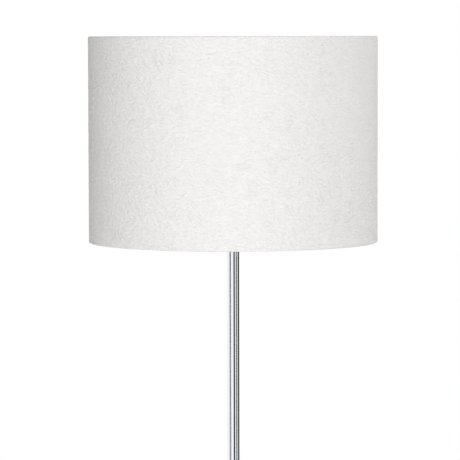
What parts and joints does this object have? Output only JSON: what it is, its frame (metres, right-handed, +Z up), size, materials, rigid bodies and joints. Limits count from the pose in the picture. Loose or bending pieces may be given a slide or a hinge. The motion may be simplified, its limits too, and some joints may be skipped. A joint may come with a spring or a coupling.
{
  "type": "tripod floor lamp",
  "caption": "Floor lamp with a white fabric drum shade on a narrow stem of parallel chromed rods that splay into a tripod foot.",
  "frame": {"origin": "on the floor, on the stem's axis, under the middle of the shade", "axes": "+Z up along the stem; -Y is the front, the way one of the legs points; +X to the right seen from the front"},
  "size_m": [0.45, 0.45, 1.55],
  "materials": {
    "polished_chrome": "polished",
    "zinc_plated_steel": "satin",
    "foot_rubber": "matte",
    "brass": "satin",
    "white_thermoplastic": "satin",
    "black_thermoplastic": "satin",
    "steatite": "matte",
    "nickelled_steel": "satin",
    "black_glass_insulator": "gloss",
    "opal_polycarbonate": "satin",
    "led_board": "matte",
    "shade_fabric": "matte",
    "shade_liner": "satin",
    "white_coated_wire": "satin"
  },
  "bodies": {
    "stand": {"foot_front": "foot_rubber", "leg_front": "polished_chrome", "rod_front": "polished_chrome", "foot_back_right": "foot_rubber", "leg_back_right": "polished_chrome", "rod_back_right": "polished_chrome", "foot_back_left": "foot_rubber", "leg_back_left": "polished_chrome", "rod_back_left": "polished_chrome", "splay_collar": "polished_chrome", "mid_coupling": "polished_chrome", "top_hub": "polished_chrome", "holder_cap": "polished_chrome", "wire_tube_lower": "white_thermoplastic", "wire_tube_upper": "white_thermoplastic", "splay_collar_screws": "zinc_plated_steel", "mid_coupling_screws": "zinc_plated_steel", "top_hub_screws": "zinc_plated_steel", "nipple": "zinc_plated_steel", "nipple_nut": "zinc_plated_steel", "holder_cap_screw": "zinc_plated_steel", "cord_gland": "black_thermoplastic", "holder_skirt": "white_thermoplastic", "holder_insert": "steatite", "terminal_screws": "brass", "screw_shell": "nickelled_steel", "screw_shell_feet": "brass", "centre_contact": "brass", "switch_housing": "white_thermoplastic", "switch_contacts": "brass"},
    "shade": {"shade_cover": "shade_fabric", "shade_liner": "shade_liner", "shade_top_wire": "white_coated_wire", "shade_bottom_wire": "white_coated_wire", "spider_spokes": "white_coated_wire", "spider_ring": "white_coated_wire"},
    "shade_ring": {"shade_ring": "white_thermoplastic"},
    "bulb": {"bulb_contact": "nickelled_steel", "bulb_insulator": "black_glass_insulator", "bulb_cap": "nickelled_steel", "bulb_body": "white_thermoplastic", "bulb_led_board": "led_board", "bulb_globe": "opal_polycarbonate"},
    "switch_bar": {"switch_bar": "white_thermoplastic"}
  },
  "joints": [
    {"name": "shade_swivel", "type": "hinge", "parent": "stand", "child": "shade", "pos_m": [0, 0, 1.2875], "axis": [0, 0, 1], "continuous": true},
    {"name": "shade_ring_turn", "type": "hinge", "parent": "stand", "child": "shade_ring", "pos_m": [0, 0, 1.2935], "axis": [0, 0, 1], "range_deg": [0, 1080]},
    {"name": "bulb_lift", "type": "slide", "parent": "stand", "child": "bulb", "axis": [0, 0, 1], "range_m": [0, 0.03]},
    {"name": "switch_push", "type": "slide", "parent": "stand", "child": "switch_bar", "axis": [1, 0, 0], "range_m": [0, 0.006]}
  ]
}
